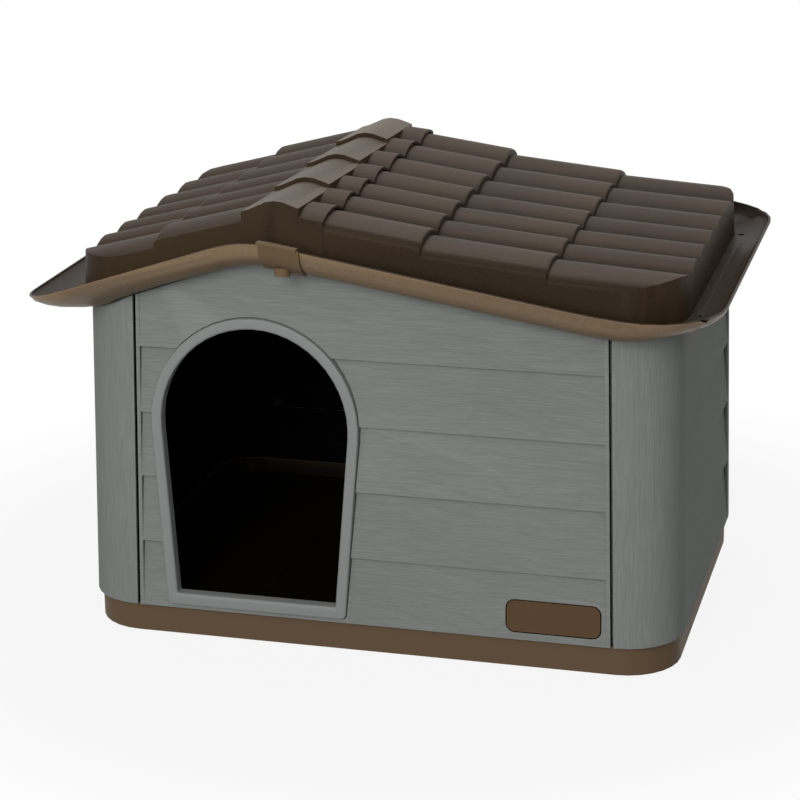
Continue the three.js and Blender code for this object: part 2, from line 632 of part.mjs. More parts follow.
function gutterRing() {
  const corners = [[1, 1], [-1, 1], [-1, -1], [1, -1]];
  const path = corners.flatMap(([sideX, sideY], corner) => {
    const end = sideX < 0 ? 'left' : 'right';
    const turn = (halfX, halfY, radius) => Array.from({ length: cornerSteps + 1 }, (_, i) => {
      const angle = Math.PI / 2 * (corner + i / cornerSteps);
      return new THREE.Vector2(sideX * (halfX - radius) + radius * Math.cos(angle),
        sideY * (halfY - radius) + radius * Math.sin(angle));
    });
    const feet = turn(skirtHalfX, skirtHalfY, skirtRadius);
    const lips = turn(skirtHalfX + eaveWidth[end], skirtHalfY + gutterWidth, lipRadius[end]);
    const turns = feet.map((skirt, i) => ({ skirt, lip: lips[i] }));
    if (corner % 2) return turns;
    const along = corner === 0 ? [...gableStops].reverse() : gableStops;
    const gable = along.map((x) => ({ skirt: new THREE.Vector2(x, sideY * skirtHalfY),
      lip: new THREE.Vector2(x, sideY * (skirtHalfY + gutterWidth)) }));
    return [...turns, ...gable];
  });
  const holes = [-1, 1].flatMap((sideX) => [-1, 1].map((sideY) => cylinderZ(
    sideX * (skirtHalfX + drainHole.offset), sideY * drainHole.y, drainHole.radius,
    skirtLevel - 40, skirtLevel + 30)));
  const drains = [-1, 1].map((sideY) => cylinderZ(splitX, sideY * (skirtHalfY + spout.offset),
    spout.bore, spout.bottom - 10, spout.bottom + 40));
  const ring = loft(path.map(({ skirt, lip }) => {
    const outward = lip.clone().sub(skirt);
    const width = outward.length();
    outward.divideScalar(width);
    return gutterSection(skirtFoot(skirt.x), lipHeight(lip.x), width)
      .map(([out, z]) => new THREE.Vector3(skirt.x + out * outward.x, skirt.y + out * outward.y, z));
  }));
  return ring.subtract(join([...holes, ...drains]));
}

// Coupler over the joint of the two gutter halves, with a drain spout.
function gutterCoupler(sideY) {
  const inner = gutterSkin + 2 * touchGap;
  const lipOut = gutterWidth + gutterSkin + 1 + touchGap;
  const start = 0.4;
  const place = (x) => ([out, z]) => new THREE.Vector3(x, sideY * (skirtHalfY + out), z);
  const body = loft(stopsFrom(coupler.left, coupler.right).map((x) => {
    const [footZ, lipZ] = [skirtFoot(x), lipHeight(x)];
    const inside = troughCurve(footZ, lipZ, inner, start);
    const outside = troughCurve(footZ, lipZ, inner + coupler.skin, start);
    return [...inside.slice(0, -1), [lipOut, lipZ - gutterBead - 1.5], [lipOut, lipZ + touchGap + 1],
      [lipOut + coupler.skin, lipZ + touchGap + 1], ...outside.reverse()].map(place(x));
  }), 'x');
  const rail = loft(stopsFrom(coupler.railLeft, coupler.railRight).map((x) => {
    const lipZ = lipHeight(x) + touchGap;
    return [[gutterWidth - 3, lipZ], [lipOut + coupler.skin + 0.4, lipZ],
      [lipOut + coupler.skin + 0.4, lipZ + coupler.railHeight],
      [gutterWidth - 3, lipZ + coupler.railHeight]].map(place(x));
  }), 'x');
  const spoutY = sideY * (skirtHalfY + spout.offset);
  const curve = troughCurve(skirtFoot(splitX), lipHeight(splitX), inner + coupler.skin / 2);
  const spoutTop = curve.find(([out]) => out > spout.offset)[1] - 4;
  const tube = cylinderZ(splitX, spoutY, spout.radius, spout.bottom, spoutTop);
  const bore = cylinderZ(splitX, spoutY, spout.bore, spout.bottom - 1, spoutTop + 30);
  const clear = gutterClearance(sideY);
  return join([body, rail, tube.subtract(clear)]).subtract(bore);
}

// The space that the gutter itself takes near the joint, with a touching gap round it.
function gutterClearance(sideY) {
  return loft(stopsFrom(coupler.railLeft - 5, coupler.railRight + 5).map((x) => {
    const [footZ, lipZ] = [skirtFoot(x), lipHeight(x)];
    const belly = troughCurve(footZ, lipZ, gutterSkin + touchGap);
    return [...belly, [0, lipZ - gutterBead]]
      .map(([out, z]) => new THREE.Vector3(x, sideY * (skirtHalfY + out), z));
  }), 'x');
}

// ---- Roof halves ----

const far = 700;
const between = (x0, x1) => box(x0, x1, -far, far, 0, far * 2);
const seamX = rightTails[0][0];

function leftRoof() {
  const shell = roofShell(leftTails, rightTails.slice(0, 1), 0, true).intersect(between(-far, seamX));
  const lapClear = bandOver(-10, skin + touchGap, splitX - touchGap, seamX + 1);
  const gutter = gutterRing().intersect(between(-far, splitX - touchGap / 2));
  return shell.subtract(lapClear).add(gutter);
}

function rightRoof() {
  const tails = rightTails.slice(1);
  const start = seamX + touchGap;
  const shell = roofShell(leftTails, tails, 0, false).intersect(between(start, far));
  const tongueStart = seamX - lapReach + 0.5;
  const tongue = roofShell(leftTails, tails, lapInset, false).intersect(between(tongueStart, start + skin));
  const thickSkirt = skirtBlock(0).subtract(skirtBlock(lapInset + skin));
  const joggle = thickSkirt.intersect(tileBlock(leftTails, tails, 0, 0))
    .intersect(bandOver(-gutterSkin / 2, wallTop, start, start + skin));
  const footStrip = thickSkirt.intersect(bandOver(-gutterSkin / 2, skin, splitX + touchGap / 2, start + 1));
  const gutter = gutterRing().intersect(between(splitX + touchGap / 2, far));
  return join([shell, tongue, joggle, footStrip, gutter]);
}

// Where a point of the upright walls has to lie so that the lean brings it to x and z.
function beforeLean([x, z]) {
  const shift = wallLean * (z - wallFoot);
  const isOutside = Math.abs(x) > seamHalf - shift;
  return [isOutside ? x + Math.sign(x) * shift : x / (1 - shift / seamHalf), z];
}

// Space under the roof that the walls fill: the lowest line of the tiles' underside, less a gap.
function underRoof() {
  const gap = skin + touchGap + 0.1;
  const slopes = [slopeOutline(1, rightTails, skin, gap), slopeOutline(-1, leftTails, skin, gap)];
  const [rightEave, leftEave] = slopes.map((points) => points.pop());
  const [rightSteps, leftSteps] = slopes.map((points) => points.filter((_, i) => i % 2));
  const head = [rightEave, ...rightSteps.reverse(), [capTop[4][0], rightSteps.at(-1)[1] - 1],
    ...leftSteps, leftEave].map(beforeLean);
  return alongY([[-far, 0], [far, 0], [far, rightEave[1] - 30], ...head, [-far, leftEave[1] - 30]],
    -far, far);
}

// ---- Push pins ----

function pushPin(sideX, sideY, height) {
  const profile = [[0, -pin.length], [pin.shaft - 0.6, -pin.length], [pin.shaft, 1 - pin.length],
    [pin.shaft, 0], [pin.head, 0], [pin.head, pin.headHeight - 1.2], [pin.head - 1.4, pin.headHeight],
    [0, pin.headHeight]].map(([r, h]) => new THREE.Vector2(r, h));
  const geometry = new THREE.LatheGeometry(profile, 12);
  if (sideY > 0) geometry.rotateX(Math.PI);
  const seat = halfDepth - frameDepth - 0.5 - skin - touchGap;
  return toSolid(geometry.translate(sideX * pin.x, sideY * seat, wallFoot + height));
}

// ---- The house ----

const mirrorX = (solid) => solid.mirror([1, 0, 0]);
const roofLine = underRoof();

addPart('base_tray', baseTray(), baseBrown, 0.62);
footPlaces().forEach((place, i) => addPart(`foot_${i + 1}`, rubberFoot(place), rubberBlack, 0.85));

const frontPanel = clapboardPanel().subtract(doorCut()).add(doorReturn()).add(plateMount())
  .subtract(platePocket()).intersect(roofLine);
addPart('front_panel', frontPanel, wallGrey, 0.6, lean);
addPart('back_panel', clapboardPanel().rotate([0, 0, 180]).intersect(roofLine), wallGrey, 0.6, lean);
addPart('right_side_panel', sidePanel().intersect(roofLine), wallGrey, 0.6, lean);
addPart('left_side_panel', mirrorX(sidePanel()).intersect(roofLine), wallGrey, 0.6, lean);
addPart('door_frame', doorFrame(), trimGrey, 0.55, lean);
addPart('name_plate', namePlate(), baseBrown, 0.55, lean);

const sideNames = { '-1,-1': 'front_left', '1,-1': 'front_right', '-1,1': 'back_left', '1,1': 'back_right' };
for (const [key, corner] of Object.entries(sideNames)) {
  const [sideX, sideY] = key.split(',').map(Number);
  pin.heights.forEach((height, i) => {
    const level = i ? 'upper' : 'lower';
    addPart(`wall_pin_${corner}_${level}`, pushPin(sideX, sideY, height), pinGrey, 0.6, lean);
  });
}

addPart('roof_left_half', leftRoof(), tileBrown, 0.7);
addPart('roof_right_half', rightRoof(), tileBrown, 0.7);
addPart('gutter_coupler_front', gutterCoupler(-1), tileBrown, 0.6);
addPart('gutter_coupler_rear', gutterCoupler(1), tileBrown, 0.6);

group.position.set(-middleX, 0, -groundZ);

export default group;
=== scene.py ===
# Plastic dog house: clapboard walls on a base tray, lift-off tiled roof with a gutter.
# Metres; X to the right seen from the front, Y towards the back, Z up from the ground.
import json
import math

import bmesh
import bpy
from mathutils import Matrix, Vector


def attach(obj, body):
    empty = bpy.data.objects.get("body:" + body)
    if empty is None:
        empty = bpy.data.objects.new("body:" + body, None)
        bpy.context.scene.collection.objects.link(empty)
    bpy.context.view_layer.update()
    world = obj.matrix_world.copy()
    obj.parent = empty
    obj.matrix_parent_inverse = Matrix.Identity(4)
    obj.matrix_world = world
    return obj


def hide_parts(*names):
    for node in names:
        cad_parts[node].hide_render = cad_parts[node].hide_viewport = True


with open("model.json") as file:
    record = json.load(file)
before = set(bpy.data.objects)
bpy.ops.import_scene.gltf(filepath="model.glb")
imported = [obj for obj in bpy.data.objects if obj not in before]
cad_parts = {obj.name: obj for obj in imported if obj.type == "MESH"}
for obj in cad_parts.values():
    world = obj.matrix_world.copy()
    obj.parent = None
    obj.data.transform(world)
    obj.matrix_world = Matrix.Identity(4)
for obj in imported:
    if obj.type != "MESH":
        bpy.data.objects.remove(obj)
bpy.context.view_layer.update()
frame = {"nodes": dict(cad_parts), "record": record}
scene = bpy.context.scene
print("Frame loaded with", len(frame["nodes"]), "nodes")

# Places on the house that the materials follow, in metres.
house = {
    "middleX": 0.0055,        # middle of the walls
    "halfWidth": 0.4025,      # walls at their foot
    "halfDepth": 0.2895,
    "postRadius": 0.077,      # rounded corner posts
    "footZ": 0.0425,
    "lean": 0.024,            # walls draw in by this much per metre of height
    "postY": 0.2,             # corner posts start here on the side walls
    "plankSeams": [0.1345, 0.225, 0.313, 0.4015],
    "plankSlope": 0.0652,     # the lowest plank leans back by this much per metre of height
    "plate": {"x": 0.2494, "z": 0.0743, "halfWidth": 0.0637, "halfHeight": 0.0228},
    "skirtHalfX": 0.3985,     # roof skirt inside the gutter
    "skirtHalfY": 0.287,
    "skirtRadius": 0.077,
    "rowEdges": [0, 0.166, 0.291, 0.422, 0.556, 0.704, 0.857, 1],  # tile rows, shares of depth
    "capX": -0.117,           # middle line of the ridge caps
    "capHalf": 0.0375,
    "drain": {"y": 0.211, "offset": 0.009, "radius": 0.0054},  # holes in the gutter's trough
}


def linear(hexColour):
    values = [int(hexColour[i:i + 2], 16) / 255 for i in (1, 3, 5)]
    return tuple(v / 12.92 if v <= 0.04045 else ((v + 0.055) / 1.055) ** 2.4
                 for v in values) + (1.0,)


def setInputs(tree, node, inputs):
    # Link a socket, or set a plain value.
    for name, value in inputs.items():
        if isinstance(value, bpy.types.NodeSocket):
            tree.links.new(value, node.inputs[name])
        else:
            node.inputs[name].default_value = value


def put(tree, kind, inputs=None, **settings):
    made = tree.nodes.new(kind)
    for name, value in settings.items():
        setattr(made, name, value)
    setInputs(tree, made, inputs or {})
    return made


def calc(tree, operation, *values):
    return put(tree, "ShaderNodeMath", dict(enumerate(values)), operation=operation).outputs[0]


def gap(tree, first, second):
    return calc(tree, "ABSOLUTE", calc(tree, "SUBTRACT", first, second))


def axes(tree, vector):
    return put(tree, "ShaderNodeSeparateXYZ", {0: vector}).outputs


def ramp(tree, value, low, high, start=0.0, end=1.0):
    # Smooth step from one value to another between two limits.
    inputs = {"Value": value, "From Min": low, "From Max": high, "To Min": start, "To Max": end}
    return put(tree, "ShaderNodeMapRange", inputs, interpolation_type="SMOOTHSTEP").outputs[0]


def fall(tree, value, low, high):
    return ramp(tree, value, low, high, 1.0, 0.0)


def blendColour(tree, factor, first, second, mode="MIX"):
    return put(tree, "ShaderNodeMix", {0: factor, 6: first, 7: second}, data_type="RGBA",
               blend_type=mode).outputs[2]


def shaded(tree, colour, level):
    grey = put(tree, "ShaderNodeCombineColor", {0: level, 1: level, 2: level}).outputs[0]
    return blendColour(tree, 1.0, colour, grey, "MULTIPLY")


def startGroup(name, inputs, outputs):
    tree = bpy.data.node_groups.new(name, "ShaderNodeTree")
    for label, kind, value in inputs:
        socket = tree.interface.new_socket(label, in_out="INPUT", socket_type="NodeSocket" + kind)
        if value is not None:
            socket.default_value = value
    for label, kind in outputs:
        tree.interface.new_socket(label, in_out="OUTPUT", socket_type="NodeSocket" + kind)
    return tree, put(tree, "NodeGroupInput").outputs, put(tree, "NodeGroupOutput")


def useGroup(tree, group, **inputs):
    return put(tree, "ShaderNodeGroup", inputs, node_tree=group).outputs


# Repeats per metre along, across and from piece to piece, then widths and shares.
grain = {"drift": {"Along": 5.0, "Across": 11.0, "Piece": 37.0}, "wander": 0.015,
         "along": 22.0, "piece": 91.0, "streakEdges": (0.34, 0.66), "rings": 60.0,
         "ringWidth": 0.16, "ringShare": 0.25, "toneOfDrift": 0.5, "toneOfHeight": 0.7,
         "roughTone": (0.2, 0.8), "roughSwing": (-0.05, 0.06)}


def makeMouldedGrain():
    # Wood grain moulded in plastic: long fine streaks with wandering growth lines.
    tree, given, result = startGroup(
        "mouldedGrain",
        [("Along", "Float", 0.0), ("Across", "Float", 0.0), ("Piece", "Float", 0.0),
         ("Streaks", "Float", 420.0), ("Lines", "Float", 16.0)],
        [("Height", "Float"), ("Tone", "Float")])

    def stretchedNoise(detail, roughness, *scaled):
        vector = put(tree, "ShaderNodeCombineXYZ", {
            i: calc(tree, "MULTIPLY", value, scale) for i, (value, scale) in enumerate(scaled)})
        return put(tree, "ShaderNodeTexNoise", {
            "Vector": vector.outputs[0], "Scale": 1.0, "Detail": detail,
            "Roughness": roughness}).outputs[0]

    drift = stretchedNoise(2.0, 0.5, *((given[name], grain["drift"][name])
                                       for name in ("Along", "Across", "Piece")))
    across = calc(tree, "MULTIPLY_ADD", drift, grain["wander"], given["Across"])
    streakNoise = stretchedNoise(3.0, 0.6, (given["Along"], grain["along"]),
                                 (across, given["Streaks"]), (given["Piece"], grain["piece"]))
    streak = ramp(tree, streakNoise, *grain["streakEdges"])
    rings = calc(tree, "FRACT", calc(tree, "MULTIPLY_ADD", drift, given["Lines"],
                                     calc(tree, "MULTIPLY", across, grain["rings"])))
    groove = ramp(tree, gap(tree, rings, 0.5), 0.0, grain["ringWidth"])
    height = calc(tree, "MULTIPLY_ADD", groove, grain["ringShare"],
                  calc(tree, "MULTIPLY", streak, 1 - grain["ringShare"]))
    tone = calc(tree, "MULTIPLY_ADD", drift, grain["toneOfDrift"],
                calc(tree, "MULTIPLY", height, grain["toneOfHeight"]))
    setInputs(tree, result, {"Height": height, "Tone": tone})
    return tree


pebble = {"dustScale": 0.45, "pebbleShare": 0.5, "roughTone": (0.3, 0.7),
          "roughSwing": (-0.04, 0.05)}


def makePebbleSkin():
    # Fine leathery moulding texture.
    tree, given, result = startGroup(
        "pebbleSkin", [("Place", "Vector", None), ("Scale", "Float", 700.0)],
        [("Height", "Float"), ("Tone", "Float")])
    pebbles = put(tree, "ShaderNodeTexVoronoi", {
        "Vector": given["Place"], "Scale": given["Scale"]}, feature="SMOOTH_F1").outputs[0]
    dustScale = calc(tree, "MULTIPLY", given["Scale"], pebble["dustScale"])
    dust = put(tree, "ShaderNodeTexNoise", {"Vector": given["Place"], "Scale": dustScale,
                                            "Detail": 3.0, "Roughness": 0.6}).outputs[0]
    height = calc(tree, "MULTIPLY_ADD", pebbles, pebble["pebbleShare"],
                  calc(tree, "MULTIPLY", dust, 1 - pebble["pebbleShare"]))
    setInputs(tree, result, {"Height": height, "Tone": dust})
    return tree


highlightPointiness = (0.5, 0.62)  # from a flat face to an edge with a painted highlight


def makeCloudTone():
    # Slow drift of colour over a moulding, with edges made paler by a painted highlight.
    tree, given, result = startGroup(
        "cloudTone",
        [("Color", "Color", (0.5, 0.5, 0.5, 1.0)), ("Place", "Vector", None),
         ("Size", "Float", 5.0), ("Amount", "Float", 0.06), ("Tone", "Float", 0.5),
         ("Contrast", "Float", 0.15), ("Edges", "Float", 0.12)],
        [("Color", "Color")])
    cloud = put(tree, "ShaderNodeTexNoise", {
        "Vector": given["Place"], "Scale": given["Size"], "Detail": 3.0}).outputs[0]
    level = calc(tree, "MULTIPLY_ADD", calc(tree, "SUBTRACT", cloud, 0.5), given["Amount"], 1.0)
    level = calc(tree, "MULTIPLY_ADD", calc(tree, "SUBTRACT", given["Tone"], 0.5),
                 given["Contrast"], level)
    # Painted highlight: edges are made paler.
    pointy = put(tree, "ShaderNodeNewGeometry").outputs["Pointiness"]
    edge = ramp(tree, pointy, *highlightPointiness)
    level = calc(tree, "MULTIPLY_ADD", edge, given["Edges"], level)
    setInputs(tree, result, {"Color": shaded(tree, given["Color"], level)})
    return tree


def roundedDistance(tree, x, y, halfX, halfY, radius):
    # Distance out from a rounded rectangle in plan; below 0 inside it.
    parts = [calc(tree, "SUBTRACT", calc(tree, "ABSOLUTE", value), half - radius)
             for value, half in ((x, halfX), (y, halfY))]
    squares = [calc(tree, "POWER", calc(tree, "MAXIMUM", part, 0.0), 2.0) for part in parts]
    reach = calc(tree, "SQRT", calc(tree, "ADD", *squares))
    inner = calc(tree, "MINIMUM", calc(tree, "MAXIMUM", *parts), 0.0)
    return calc(tree, "SUBTRACT", calc(tree, "ADD", reach, inner), radius)


# Limits between which a mask rises or falls. Depths behind the outer face and places are in
# metres, and the other limits are shares of a face's direction that point out or up.
zoneLimits = {
    "inward": (-0.45, -0.25), "inwardDepth": (0.001, 0.0016),
    "sideways": (0.2, 0.35), "sidewaysDepth": (0.0062, 0.0068),
    "notBelow": (-0.6, -0.4), "stepDepth": (0.0032, 0.0038),
    "buriedDepth": (0.0125, 0.0135), "pocketDepth": (0.0003, 0.0005),
    "trayDepth": (0.022, 0.0235), "trayHeight": (0.0335, 0.0345),
    "seam": (0.3195, 0.3205), "blend": 0.0005, "smallest": 0.0001,
    "gutter": (0.001, 0.004), "troughUp": (0.25, 0.6), "troughInward": (-0.5, -0.3),
}
# Numbers that set each plank's grain apart.
plankSeeds = {"first": 0.13, "step": 0.21, "growth": 0.07, "side": 0.5}


def outwardFacing(tree, sides):
    # Distance from the corner's middle line, and whether a face there looks out (1) or in (-1).
    reaches, outwards = [], []
    for size, signed, normal, middle in sides:
        past = calc(tree, "SUBTRACT", size, middle)
        reaches.append(calc(tree, "MAXIMUM", past, 0.0))
        side = calc(tree, "MULTIPLY", calc(tree, "SIGN", signed), normal)
        outwards.append(calc(tree, "MULTIPLY", reaches[-1], side))
    squares = [calc(tree, "POWER", reach, 2.0) for reach in reaches]
    radius = calc(tree, "MAXIMUM", calc(tree, "SQRT", calc(tree, "ADD", *squares)),
                  zoneLimits["smallest"])
    return radius, calc(tree, "DIVIDE", calc(tree, "ADD", *outwards), radius)


def makeHouseZones():
    # Masks for the painted shade inside the house, in the depths of the wall steps and round the
    # name plate, and for the painted shade inside the tray, then for the posts, then each plank's
    # own number and the directions that the grain follows.
    tree, given, result = startGroup(
        "houseZones", [("Place", "Vector", None), ("Facing", "Vector", None)],
        [("Inside", "Float"), ("TrayShade", "Float"), ("Post", "Float"), ("Plank", "Float"),
         ("Along", "Float"), ("Around", "Float"), ("Height", "Float")])
    xyz, facing = axes(tree, given["Place"]), axes(tree, given["Facing"])
    x = calc(tree, "SUBTRACT", xyz[0], house["middleX"])
    absX, absY = calc(tree, "ABSOLUTE", x), calc(tree, "ABSOLUTE", xyz[1])
    rise = calc(tree, "SUBTRACT", xyz[2], house["footZ"])
    drawn = calc(tree, "MULTIPLY", rise, house["lean"])
    limits = zoneLimits

    radius, outward = outwardFacing(tree, [
        (calc(tree, "ADD", size, drawn), signed, normal, half - house["postRadius"])
        for size, signed, normal, half in ((absX, x, facing[0], house["halfWidth"]),
                                           (absY, xyz[1], facing[1], house["halfDepth"]))])
    depth = calc(tree, "SUBTRACT", house["postRadius"], radius)
    # Painted shade: faces that look into the house, behind the outer face, are darkened.
    inner = calc(tree, "MULTIPLY", fall(tree, outward, *limits["inward"]),
                 ramp(tree, depth, *limits["inwardDepth"]))

    # Painted shade: steps in the walls, apart from the planks' undersides, grow dark in their
    # depth.
    stepped = calc(tree, "MULTIPLY", ramp(tree, facing[2], *limits["notBelow"]),
                   ramp(tree, depth, *limits["stepDepth"]))
    sideways = calc(tree, "MAXIMUM", stepped, ramp(tree, depth, *limits["sidewaysDepth"]))
    flanks = calc(tree, "MULTIPLY", fall(tree, outward, *limits["sideways"]), sideways)
    # Faces buried deep behind the outer face get painted shade too.
    buried = calc(tree, "MAXIMUM", flanks, ramp(tree, depth, *limits["buriedDepth"]))

    # Painted shade in the pocket round the name plate, behind the leaning face of the lowest
    # plank.
    plate = house["plate"]
    sink = calc(tree, "SUBTRACT", calc(tree, "ADD", xyz[1], house["halfDepth"]), drawn)
    sink = calc(tree, "SUBTRACT", sink, calc(tree, "MULTIPLY", rise, house["plankSlope"]))
    pocket = ramp(tree, sink, *limits["pocketDepth"])
    for value, middle, half in ((xyz[0], plate["x"], plate["halfWidth"]),
                                (xyz[2], plate["z"], plate["halfHeight"])):
        within = calc(tree, "LESS_THAN", gap(tree, value, middle), half)
        pocket = calc(tree, "MULTIPLY", pocket, within)
    pocket = calc(tree, "MULTIPLY", pocket, calc(tree, "LESS_THAN", xyz[1], 0.0))
    shadeMask = calc(tree, "MAXIMUM", buried, pocket)
    # Mask for the painted shade inside the tray.
    trayShadeMask = calc(tree, "MULTIPLY", ramp(tree, depth, *limits["trayDepth"]),
                  ramp(tree, xyz[2], *limits["trayHeight"]))

    onSide = ramp(tree, absX, *limits["seam"])
    onCorner = ramp(tree, absY, house["postY"] - limits["blend"], house["postY"] + limits["blend"])
    plank = plankSeeds["first"]
    for i, seamZ in enumerate(house["plankSeams"]):
        above = calc(tree, "GREATER_THAN", xyz[2], seamZ + limits["blend"])
        seed = plankSeeds["step"] + plankSeeds["growth"] * i
        plank = calc(tree, "MULTIPLY_ADD", above, seed, plank)
    side = calc(tree, "MULTIPLY", onSide, plankSeeds["side"])
    setInputs(tree, result, {
        "Inside": calc(tree, "MAXIMUM", inner, shadeMask), "TrayShade": trayShadeMask,
        "Post": calc(tree, "MULTIPLY", onSide, onCorner), "Plank": calc(tree, "ADD", plank, side),
        "Along": calc(tree, "ADD", x, xyz[1]), "Around": calc(tree, "SUBTRACT", absX, absY),
        "Height": xyz[2]})
    return tree


def makeRoofZones():
    # Roof masks: the gutter outside the skirt, its trough, its drain holes, and the tile rows.
    tree, given, result = startGroup(
        "roofZones", [("Place", "Vector", None), ("Facing", "Vector", None)],
        [("Gutter", "Float"), ("Trough", "Float"), ("Drain", "Float"), ("Row", "Float"),
         ("Sideways", "Float"), ("Upwards", "Float")])
    xyz, facing = axes(tree, given["Place"]), axes(tree, given["Facing"])
    x = calc(tree, "SUBTRACT", xyz[0], house["middleX"])
    distance = roundedDistance(tree, x, xyz[1], house["skirtHalfX"], house["skirtHalfY"],
                               house["skirtRadius"])
    outward = outwardFacing(tree, [
        (calc(tree, "ABSOLUTE", signed), signed, normal, half - house["skirtRadius"])
        for signed, normal, half in ((x, facing[0], house["skirtHalfX"]),
                                     (xyz[1], facing[1], house["skirtHalfY"]))])[1]
    trough = calc(tree, "MAXIMUM", ramp(tree, facing[2], *zoneLimits["troughUp"]),
                  fall(tree, outward, *zoneLimits["troughInward"]))

    drain = house["drain"]
    offsets = (gap(tree, calc(tree, "ABSOLUTE", xyz[1]), drain["y"]),
               gap(tree, distance, drain["offset"]))
    squares = [calc(tree, "POWER", offset, 2.0) for offset in offsets]
    fromDrain = calc(tree, "SQRT", calc(tree, "ADD", *squares))

    share = calc(tree, "DIVIDE", calc(tree, "ADD", xyz[1], house["skirtHalfY"]),
                 2 * house["skirtHalfY"])
    row = 0.0
    for start, end in zip(house["rowEdges"], house["rowEdges"][1:]):
        within = calc(tree, "DIVIDE", calc(tree, "SUBTRACT", share, start), end - start)
        isHere = calc(tree, "COMPARE", within, 0.5, 0.5)
        row = calc(tree, "MULTIPLY_ADD", within, isHere, row)
    setInputs(tree, result, {
        "Gutter": ramp(tree, distance, *zoneLimits["gutter"]), "Trough": trough,
        "Drain": calc(tree, "LESS_THAN", fromDrain, drain["radius"]), "Row": row,
        "Sideways": xyz[0], "Upwards": facing[2]})
    return tree


mouldedGrain = makeMouldedGrain()
pebbleSkin = makePebbleSkin()
cloudTone = makeCloudTone()
houseZones = makeHouseZones()
roofZones = makeRoofZones()
print("Shader groups made")


def startMaterial(name):
    material = bpy.data.materials.new(name)
    material.use_nodes = True
    tree = material.node_tree
    shader = tree.nodes["Principled BSDF"]
    coords = put(tree, "ShaderNodeTexCoord").outputs
    return material, tree, shader, coords["Object"], coords["Normal"]


def bump(tree, height, distance):
    return put(tree, "ShaderNodeBump", {"Height": height, "Distance": distance,
                                        "Strength": 1.0}).outputs[0]


def unevenRoughness(tree, tone, middle, texture):
    low, high = (middle + swing for swing in texture["roughSwing"])
    return ramp(tree, tone, *texture["roughTone"], low, high)


def wallPlastic(look):
    material, tree, shader, place, facing = startMaterial("clapboardPlastic")
    zones = useGroup(tree, houseZones, Place=place, Facing=facing)
    planks = useGroup(tree, mouldedGrain, Along=zones["Along"], Across=zones["Height"],
                      Piece=zones["Plank"], Streaks=look["streaks"], Lines=look["lines"])
    posts = useGroup(tree, mouldedGrain, Along=zones["Height"], Across=zones["Around"],
                     Piece=look["postPiece"], Streaks=look["postStreaks"],
                     Lines=look["postLines"])

    def pick(name):
        return put(tree, "ShaderNodeMix", {0: zones["Post"], 2: planks[name], 3: posts[name]},
                   data_type="FLOAT").outputs[0]

    height, tone = pick("Height"), pick("Tone")
    colour = useGroup(tree, cloudTone, Color=linear(look["colour"]), Place=place,
                      Size=look["cloudSize"], Amount=look["clouds"], Tone=tone,
                      Contrast=look["contrast"], Edges=look["edges"])["Color"]
    # Painted shade: the inside of the house, the wall steps and the name plate's pocket are
    # darkened.
    colour = blendColour(tree, zones["Inside"], colour, linear(look["inside"]), "MULTIPLY")
    setInputs(tree, shader, {
        "Base Color": colour, "Specular IOR Level": look["gloss"],
        "Roughness": unevenRoughness(tree, tone, look["rough"], grain),
        "Normal": bump(tree, height, look["relief"])})
    return material


def smoothPlastic(name, look):
    # Fine-textured moulding of one colour.
    material, tree, shader, place, facing = startMaterial(name)
    skin = useGroup(tree, pebbleSkin, Place=place, Scale=look["grain"])
    colour = useGroup(tree, cloudTone, Color=linear(look["colour"]), Place=place,
                      Amount=look["clouds"], Tone=skin["Tone"], Contrast=look["contrast"],
                      Edges=look["edges"])["Color"]
    if "inside" in look:
        # Painted shade: the inside of the tray is darkened.
        tray = useGroup(tree, houseZones, Place=place, Facing=facing)["TrayShade"]
        colour = blendColour(tree, tray, colour, linear(look["inside"]), "MULTIPLY")
    setInputs(tree, shader, {
        "Base Color": colour, "Specular IOR Level": look["gloss"],
        "Roughness": unevenRoughness(tree, skin["Tone"], look["rough"], pebble),
        "Normal": bump(tree, skin["Height"], look["relief"])})
    return material


# Shares of a tile row's width from front to back, which set the painted crest highlight and valley
# shade, then how far a face looks upwards, for the painted skirt and underside shade and cap
# highlight.
roofBands = {"crestStart": (0.4, 0.72), "crestEnd": (0.8, 0.95), "valleyEnd": (0.0, 0.3),
             "valleyStart": (0.88, 0.98), "steepShade": (0.3, 0.75), "under": (-0.35, -0.1),
             "cap": (0.75, 0.9)}


